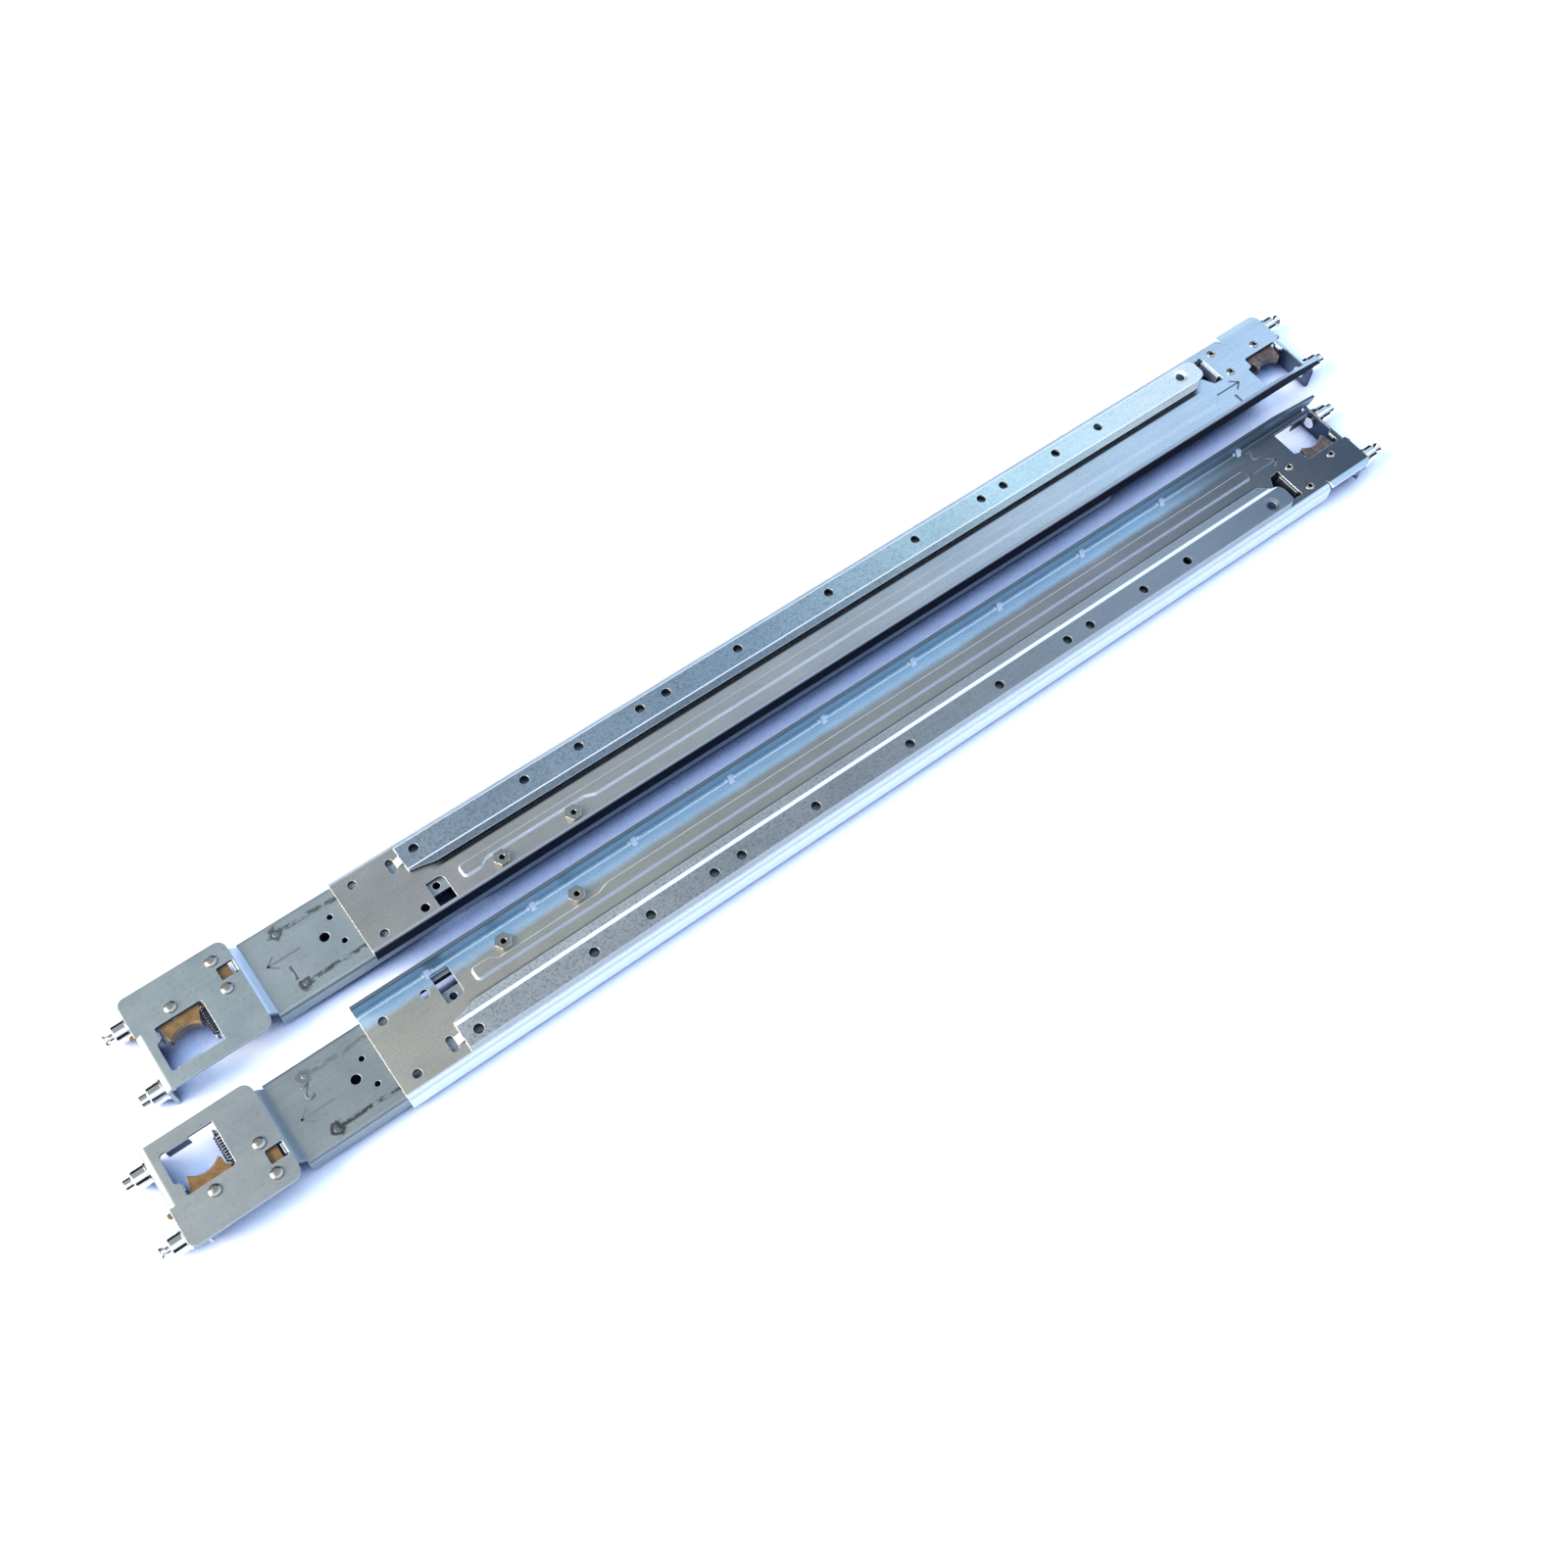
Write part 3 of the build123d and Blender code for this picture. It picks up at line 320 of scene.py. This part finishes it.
left_zinc = zinc_sheet(
    "left_channel_zinc", 1, LEFT_BACK,
    web=[
        (0.0, (0.45, 0.455, 0.41)), (0.4, (0.34, 0.35, 0.325)), (0.75, (0.28, 0.29, 0.30)),
        (0.95, (0.08, 0.10, 0.125)),
    ],
    strip=[
        (0.1, (0.44, 0.49, 0.51)), (0.5, (0.31, 0.34, 0.36)), (0.8, (0.27, 0.32, 0.37)),
        (1.0, (0.10, 0.14, 0.20)),
    ],
    band_reflection=(0.50, 0.70, 0.86), bend_highlight=(0.60, 0.76, 0.88), fold=(0.0349, 0.0364),
    flange_back_shade=(0.20, 0.28, 0.36), flange_front_light_and_shade=(0.28, 0.41, 0.52), flange_top_light_and_shade=(0.06, 0.08, 0.10),
    gap_shade=0.5,
)
dress(right_zinc, "right_front_channel")
dress(left_zinc, "left_front_channel")

# Slide studs and washers: two hex-headed shoulder studs a side, turned from zinc-plated steel and riveted
# over a washer. They hold the extension up against the channel and run in its slot.
plate = Paint("bright_zinc_plate", Metallic=1.0)
surface = plate.place()
grain = plate.noise(surface, 2400, 2.0)
haze = plate.noise(surface, 240, 2.0)
rounded, edge = plate.edges(0.0003)
colour = plate.mix(haze, (0.32, 0.33, 0.32), (0.56, 0.56, 0.53))
# painted highlight on the edges
colour = plate.mix(0.8 * edge, colour, (0.95, 0.95, 0.93))
bright_zinc = plate.finish(colour, 0.16 + 0.16 * grain, grain, 0.06, rounded)
for side in SIDES:
    dress(bright_zinc, f"{side}_slide_studs", f"{side}_stud_washers")


# Rear extensions: shallow channels of the same sheet from a duller coil, with a jog up to the end plate.
# Two pressed dimples drag on the channel's web, and have scored dark tracks where they run.
DIMPLES_X = -0.2423  # both dimples of the right rail
DIMPLE_HALF = 0.0050
OUTER_DIMPLE = 0.0438  # distance from the middle line
INNER_DIMPLE = 0.0172
EXTENSION_HOLES = (0.0100, 0.0106, 0.0484, 0.0490)
SCORED = (0.045, 0.05, 0.055)
DULL_HIGHLIGHT = (0.88, 0.95, 1.0)


def scored_sheet(name, sheet, end_plate, jog, dimples_x, outer_wear, inner_wear):
    """Duller galvanised sheet with the dimples' tracks, painted highlights on its edges and jog, and painted
    shade in its holes.
    """
    dull = Paint(name)
    surface = dull.place()
    x, y, z = dull.split(surface)
    across = abs(y)
    facing_z = dull.facing()[2]
    grain = dull.noise(surface, 1500, 2.0)
    speckle = dull.noise(surface, 520, 3.0, 0.7)
    cloud = dull.noise(surface, 60, 4.0)
    brushed = dull.noise(dull.place((0.05, 1, 1)), 560, 3.0)
    raised = z.step(0.0125, 0.0148)
    colour = dull.mix(raised, sheet, end_plate)
    shade = 0.72 + 0.26 * cloud + 0.18 * brushed + 0.18 * grain
    colour = dull.mix(1.0, colour, shade, "MULTIPLY")
    colour = dull.mix(0.3 * speckle.step(0.54, 0.70), colour, (0.16, 0.18, 0.20))
    # painted shade on the walls of holes
    shaded_hole_wall = abs(facing_z).step(0.12, 0.03) * across.within(*EXTENSION_HOLES)
    colour = dull.mix(0.6 * shaded_hole_wall, colour, (0.03, 0.035, 0.04))
    colour = shade_cavities(dull, colour)
    rounded, edge = dull.edges(EDGE_ROUND)
    dimpled = abs(x - dimples_x).step(DIMPLE_HALF, 0.9 * DIMPLE_HALF)
    sloped = facing_z.within(0.2, 0.4, 0.90, 0.97) * z.step(0.0112, 0.0116) * across.step(0.0500, 0.0490)
    # painted highlights on the edges and on the jog's slope, strong on the right rail and weak on the left
    light = (0.7 * edge * (1 - dimpled)).math("MAXIMUM", jog * sloped)
    colour = dull.mix(light, colour, DULL_HIGHLIGHT)
    broken = dull.noise(dull.place((0.5, 1, 1)), 420, 4.0, 0.7)
    smear = dull.noise(surface, 330, 3.0, 0.6)
    for distance, strength in ((OUTER_DIMPLE, outer_wear), (INNER_DIMPLE, inner_wear)):
        beside = abs(across - distance + 0.003 * (cloud - 0.5))
        ahead = x - dimples_x
        track = beside.step(0.0014, 0.0005) * ahead.step(-0.001, 0.002) * broken.step(0.42, 0.54)
        around = (ahead * ahead + beside * beside).math("SQRT") + 0.0062 * (smear - 0.5)
        spot = around.step(0.0036, 0.0024) * (0.6 + 0.4 * around.step(0.0004, 0.0018))
        colour = dull.mix(strength * track.math("MAXIMUM", spot) * (1 - raised), colour, SCORED)
    roughness = 0.34 + 0.14 * cloud + 0.10 * grain - 0.1 * edge
    return dull.finish(colour, roughness, 0.6 * grain + 0.4 * brushed, 0.12, rounded, 0.82 - 0.55 * light)


right_scored = scored_sheet(
    "right_extension_zinc", sheet=(0.31, 0.375, 0.40), end_plate=(0.30, 0.37, 0.40), jog=0.85,
    dimples_x=DIMPLES_X, outer_wear=0.75, inner_wear=0.85,
)
left_scored = scored_sheet(
    "left_extension_zinc", sheet=(0.26, 0.31, 0.335), end_plate=(0.285, 0.33, 0.355), jog=0.15,
    dimples_x=DIMPLES_X - LEFT_BACK, outer_wear=0.95, inner_wear=0.4,
)
dress(right_scored, "right_rear_extension")
dress(left_scored, "left_rear_extension")


# Latch brackets: 1.2 mm galvanised sheet under each end plate, riveted to it. The ear that is bent down
# carries the outer locating pin, and a finger holds the lower end of the lever's spring.
def bracket_zinc(name, low, high):
    """Zinc under the plate, mottled between two tones, with painted highlights on its edges."""
    hidden = Paint(name, Metallic=0.8)
    surface = hidden.place()
    grain = hidden.noise(surface, 1500, 2.0)
    cloud = hidden.noise(surface, 90, 4.0)
    rounded, edge = hidden.edges(0.0003)
    colour = hidden.ramp(cloud, (0.3, low), (0.7, high))
    # painted highlight on the edges
    colour = hidden.mix(0.8 * edge, colour, (0.92, 0.96, 1.0))
    return hidden.finish(colour, 0.3 + 0.15 * cloud, grain, 0.1, rounded)


rear_bracket = bracket_zinc("rear_bracket_zinc", (0.42, 0.46, 0.52), (0.60, 0.66, 0.72))
# the front brackets' dark tones are painted shade
front_bracket_shade = bracket_zinc("front_bracket_painted_shade", (0.10, 0.14, 0.22), (0.20, 0.26, 0.36))
for side in SIDES:
    dress(rear_bracket, f"{side}_rear_latch_bracket")
    dress(front_bracket_shade, f"{side}_front_latch_bracket")


# Latch levers: stamped from 1.2 mm sheet with a brown coating, with painted highlights along their edges.
# They turn on the inner rivet between plate and bracket. The front pair is given a darker brown.
def brown_coat(name, dark, middle, light):
    """Brown coated steel, mottled, with painted highlights on its edges."""
    coat = Paint(name, Metallic=0.45, Coat_Weight=0.15)
    surface = coat.place()
    mottle = coat.noise(surface, 300, 4.0)
    grain = coat.noise(surface, 1800, 2.0)
    colour = coat.ramp(0.7 * mottle + 0.3 * grain, (0.3, dark), (0.5, middle), (0.72, light))
    rounded, edge = coat.edges(0.0003)
    # painted highlight on the edges
    colour = coat.mix(0.6 * edge, colour, (0.80, 0.70, 0.55))
    return coat.finish(colour, 0.30 + 0.2 * mottle, grain, 0.12, rounded)


rear_coat = brown_coat("golden_brown_coat", (0.17, 0.095, 0.032), (0.25, 0.145, 0.052), (0.33, 0.20, 0.08))
front_coat = brown_coat("dark_brown_coat", (0.05, 0.035, 0.03), (0.12, 0.085, 0.07), (0.24, 0.19, 0.17))
for side in SIDES:
    dress(rear_coat, f"{side}_rear_latch_lever")
    dress(front_coat, f"{side}_front_latch_lever")

# Return springs: tension springs of 0.72 mm black music wire, drawn a little open, with a loop at each end.
# One loop goes through the lever, the other round the bracket's finger. They replace the plain solids.
music_wire = Paint("black_music_wire", Metallic=0.9)
surface = music_wire.place()
film = music_wire.noise(surface, 900, 3.0)
colour = music_wire.mix(film, (0.03, 0.033, 0.038), (0.16, 0.17, 0.19))
black_wire = music_wire.finish(colour, 0.12 + 0.14 * film, film, 0.05)
WIRE_R = 0.00036
LOOP_R = 0.00135
COIL_R = 0.00114
TURNS = 9
WIRE_SIDES = 8
TURN_STEPS = 16
LOOP_STEPS = 20


def wind_spring(side, end):
    """Wind one spring between the centres of its two loops."""
    low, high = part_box(f"{side}_{end}_latch_spring")
    centre = [(low[i] + high[i]) / 2 for i in range(3)]
    half = (high[1] - low[1]) / 2 - 2 * LOOP_R - WIRE_R
    bpy.ops.mesh.primitive_circle_add(
        vertices=WIRE_SIDES, radius=WIRE_R, location=(COIL_R, 0, -half), rotation=(math.pi / 2, 0, 0)
    )
    spring = bpy.context.object
    spring.name = f"{side}_{end}_coil_spring"
    bpy.ops.object.transform_apply(location=True, rotation=True, scale=True)
    coil = spring.modifiers.new("coil", "SCREW")
    coil.steps = coil.render_steps = TURN_STEPS
    coil.iterations = TURNS
    coil.screw_offset = 2 * half / TURNS
    bpy.ops.object.modifier_apply(modifier="coil")
    bpy.ops.object.mode_set(mode="EDIT")
    bpy.ops.mesh.select_all(action="SELECT")
    bpy.ops.mesh.remove_doubles(threshold=0.00001)
    bpy.ops.mesh.select_all(action="SELECT")
    bpy.ops.mesh.fill_holes(sides=12)
    for way in (-1, 1):
        bpy.ops.mesh.primitive_torus_add(
            major_segments=LOOP_STEPS, minor_segments=WIRE_SIDES, major_radius=LOOP_R, minor_radius=WIRE_R,
            location=(0, 0, way * (half + LOOP_R)), rotation=(0, math.pi / 2, 0),
        )
    bpy.ops.mesh.select_all(action="SELECT")
    bpy.ops.mesh.normals_make_consistent(inside=False)
    bpy.ops.object.mode_set(mode="OBJECT")
    spring.rotation_euler = (math.pi / 2, 0, 0)
    spring.location = centre
    bpy.ops.object.transform_apply(location=True, rotation=True, scale=True)
    bpy.ops.object.shade_smooth()
    spring.data.materials.append(black_wire)
    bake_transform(spring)
    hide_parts(f"{side}_{end}_latch_spring")
    bpy.ops.object.select_all(action="DESELECT")


for side in SIDES:
    for end in ENDS:
        wind_spring(side, end)

# Rivets: shouldered steel rivets, zinc plated, three at each end. The rear ones have domed heads, the front
# ones are hollow and rolled over flat.
for side in SIDES:
    dress(bright_zinc, f"{side}_rear_latch_rivets", f"{side}_front_latch_rivets")

# Locating pins: turned steel, nickel plated to a mirror. The inner one is riveted in the end flange, the
# flared outer one in the bracket's ear; they go into the square holes of a rack post.
nickel = Paint("mirror_nickel", Metallic=1.0)
turning = nickel.noise(nickel.place((1, 0.02, 0.02)), 5000, 1.0)
haze = nickel.noise(nickel.place(), 190, 2.0)
rounded, edge = nickel.edges(0.0002)
colour = nickel.mix(haze, (0.66, 0.68, 0.70), (0.90, 0.91, 0.93))
nickel_plate = nickel.finish(colour, 0.05 + 0.09 * turning, turning, 0.03, rounded)
for side in SIDES:
    for end in ENDS:
        dress(nickel_plate, f"{side}_{end}_inner_pin", f"{side}_{end}_outer_pin")


# Stamped marks: struck in the flat sheet near each end, two rows high. An arrow points to the end of the
# rail, and a plain number tells the right rail from the left one.
# The strokes are drawn flat on the sheet in dark grey: painted shade standing for the struck grooves.
struck = Paint("struck_sheet", Metallic=0.6)
surface = struck.place()
grain = struck.noise(surface, 1500, 2.0)
colour = struck.mix(grain, (0.10, 0.12, 0.14), (0.24, 0.28, 0.32))
struck_groove_shade = struck.finish(colour, 0.5 + 0.2 * grain, grain, 0.2)
ROW = 0.0072
ROW_SHIFT = 0.62 * ROW
STROKE = 0.0010
DEPTH = 0.00004
ARROW_LENGTH = 0.015
BARB_LENGTH = 0.0052
BARB_ANGLE = math.radians(38)
BARB_AHEAD = 0.0055
BARB_ASIDE = 0.0016
DIGIT_BOLD = 0.0002


def stamp(name, body, middle, towards, up, number):
    """An arrow over a number, flat in the sheet; towards is the arrow's way along x, up the rows' along y."""
    bpy.ops.mesh.primitive_plane_add(size=1)
    mark = bpy.context.object
    mark.name = name
    mark.scale = (ARROW_LENGTH, STROKE, 1)
    bpy.ops.object.transform_apply(scale=True)
    bpy.ops.object.mode_set(mode="EDIT")
    for slant in (-1, 1):
        bpy.ops.mesh.select_all(action="DESELECT")
        bpy.ops.mesh.primitive_plane_add(size=1, enter_editmode=True)
        bpy.ops.transform.resize(value=(BARB_LENGTH, STROKE, 1), center_override=(0, 0, 0))
        bpy.ops.transform.rotate(value=slant * BARB_ANGLE, orient_axis="Z", center_override=(0, 0, 0))
        bpy.ops.transform.translate(value=(towards * BARB_AHEAD, slant * towards * BARB_ASIDE, 0))
    bpy.ops.mesh.select_all(action="SELECT")
    bpy.ops.transform.translate(value=(0, up * ROW_SHIFT, 0))
    bpy.ops.object.mode_set(mode="OBJECT")
    turn = 0 if up > 0 else math.pi
    bpy.ops.object.text_add(location=(0, -up * ROW_SHIFT, 0), rotation=(0, 0, turn))
    digit = bpy.context.object
    digit.data.body = number
    digit.data.size = ROW * 1.35
    digit.data.align_x = "CENTER"
    digit.data.align_y = "CENTER"
    digit.data.offset = DIGIT_BOLD
    bpy.ops.object.convert(target="MESH")
    bpy.ops.object.transform_apply(location=True, rotation=True, scale=True)
    mark.select_set(True)
    bpy.context.view_layer.objects.active = mark
    bpy.ops.object.join()
    mark.location = (middle[0], middle[1], middle[2] + DEPTH / 4)
    bpy.ops.object.transform_apply(location=True)
    sheet = mark.modifiers.new("sheet", "SOLIDIFY")
    sheet.thickness = DEPTH
    sheet.offset = 0
    bpy.ops.object.modifier_apply(modifier="sheet")
    mark.data.materials.append(struck_groove_shade)
    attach(mark, body)
    bpy.ops.object.select_all(action="DESELECT")


REAR_MARK = (-0.2445, 0.0280, 0.0113)
FRONT_MARK = (0.2820, 0.0188, 0.0130)
for side, up, number, set_back in (("right", 1, "1", 0.0), ("left", -1, "2", LEFT_BACK)):
    x, y, z = REAR_MARK
    stamp(f"{side}_rear_mark", f"{side}_extension", (x - set_back, up * y, z), -1, up, number)
    x, y, z = FRONT_MARK
    stamp(f"{side}_front_mark", "channels", (x - set_back, up * y, z), 1, up, number)

# Table: the pair lies on its end flanges on a plain white sheet, with soft blue shadows beside each rail, cast
# by the lamp and also painted in where the rails close the sheet in.
bpy.ops.mesh.primitive_plane_add(size=6, location=(0, 0, -0.0005))
table = bpy.context.object
table.name = "table_top"
sheet = Paint("table_white", Roughness=0.9, Emission_Strength=1.0)
openness = sheet.openness(0.04, 16)
camera_ray, glossy_ray, through_ray = sheet.rays()
# painted light: the sheet glows white to the camera and in reflections where it is open, and less where it is
# closed in
seen = (camera_ray + glossy_ray + through_ray) * openness.step(0.15, 0.85)
sheet.feed(sheet.shader.inputs["Emission Color"], sheet.mix(seen, (0, 0, 0), (0.34, 0.36, 0.42)))
# painted shadow: the sheet's colour goes from white through blue to black as the rails close it in
painted_table_shadow = sheet.ramp(
    openness.step(0.16, 0.46), (0.0, (0.002, 0.006, 0.03)), (0.22, (0.04, 0.08, 0.26)),
    (0.5, (0.30, 0.50, 0.94)), (1.0, (0.9, 0.91, 0.92)),
)
paper = sheet.noise(sheet.place(), 40, 2.0)
table.data.materials.append(sheet.finish(painted_table_shadow, 0.9, paper, 0.02))

# Room: blue light from overhead, a dim ceiling over a bright horizon for the metal to reflect, a brighter
# skylight, and two dark cards, on the far and the near side of the pair, that give the pins their contrast.
world = bpy.data.worlds.new("room")
world.use_nodes = True
room = Shading(world.node_tree)
background = room.tree.nodes["Background"]
camera_ray, glossy_ray, through_ray = room.rays()
east, north, height = room.split(room.node("ShaderNodeTexCoord", out=0))
ceiling = room.mix(east.step(-0.1, 0.8), (0.41, 0.44, 0.45), (0.64, 0.84, 1.06))
walls = room.mix(height.step(0.38, 0.10), ceiling, (1.0, 1.0, 1.0))
skylight = north.step(0.04, -0.10) * height.step(0.62, 0.70)
walls = room.mix(skylight, walls, (1.25, 1.3, 1.36))
far_card = north.step(0.50, 0.56) * height.within(0.10, 0.13, 0.58, 0.62)
near_card = north.step(-0.58, -0.64) * height.within(0.10, 0.13, 0.56, 0.60)
walls = room.mix(far_card + near_card, walls, (0.01, 0.012, 0.02))
walls = room.mix(camera_ray, walls, (1.0, 1.0, 1.0))
overhead = room.mix(height.step(0.70, 0.94), (0.18, 0.28, 0.50), (1.10, 1.65, 2.7))
seen = camera_ray + glossy_ray + through_ray
room.feed(background.inputs["Color"], room.mix(seen, overhead, walls))
background.inputs["Strength"].default_value = 1.0
bpy.context.scene.world = world

# Lamp: one broad window light, low on the left, slightly warm.
LAMP_PLACE = Vector((-3.2, 1.0, 2.2))
glow = bpy.data.lights.new("window_light", "AREA")
glow.size = 2.4
glow.energy = 270
glow.color = (1.0, 0.86, 0.66)
window_light = bpy.data.objects.new("window_light", glow)
window_light.location = LAMP_PLACE
window_light.rotation_euler = (-LAMP_PLACE).to_track_quat("-Z", "Y").to_euler()
bpy.context.scene.collection.objects.link(window_light)

# Camera: it looks down on the pair from behind the left rail. Its place was fitted to the corners, holes
# and pins of both rails.
lens = bpy.data.cameras.new("camera")
lens.sensor_width = 36
lens.lens = 37.38
lens.clip_start = 0.01
camera = bpy.data.objects.new("camera", lens)
camera.location = (-0.2326, -0.2905, 0.6379)
camera.rotation_euler = [math.radians(a) for a in (28.0714, -0.3822, -36.5495)]
bpy.context.scene.collection.objects.link(camera)
bpy.context.scene.camera = camera
bpy.context.scene.view_settings.view_transform = "Standard"
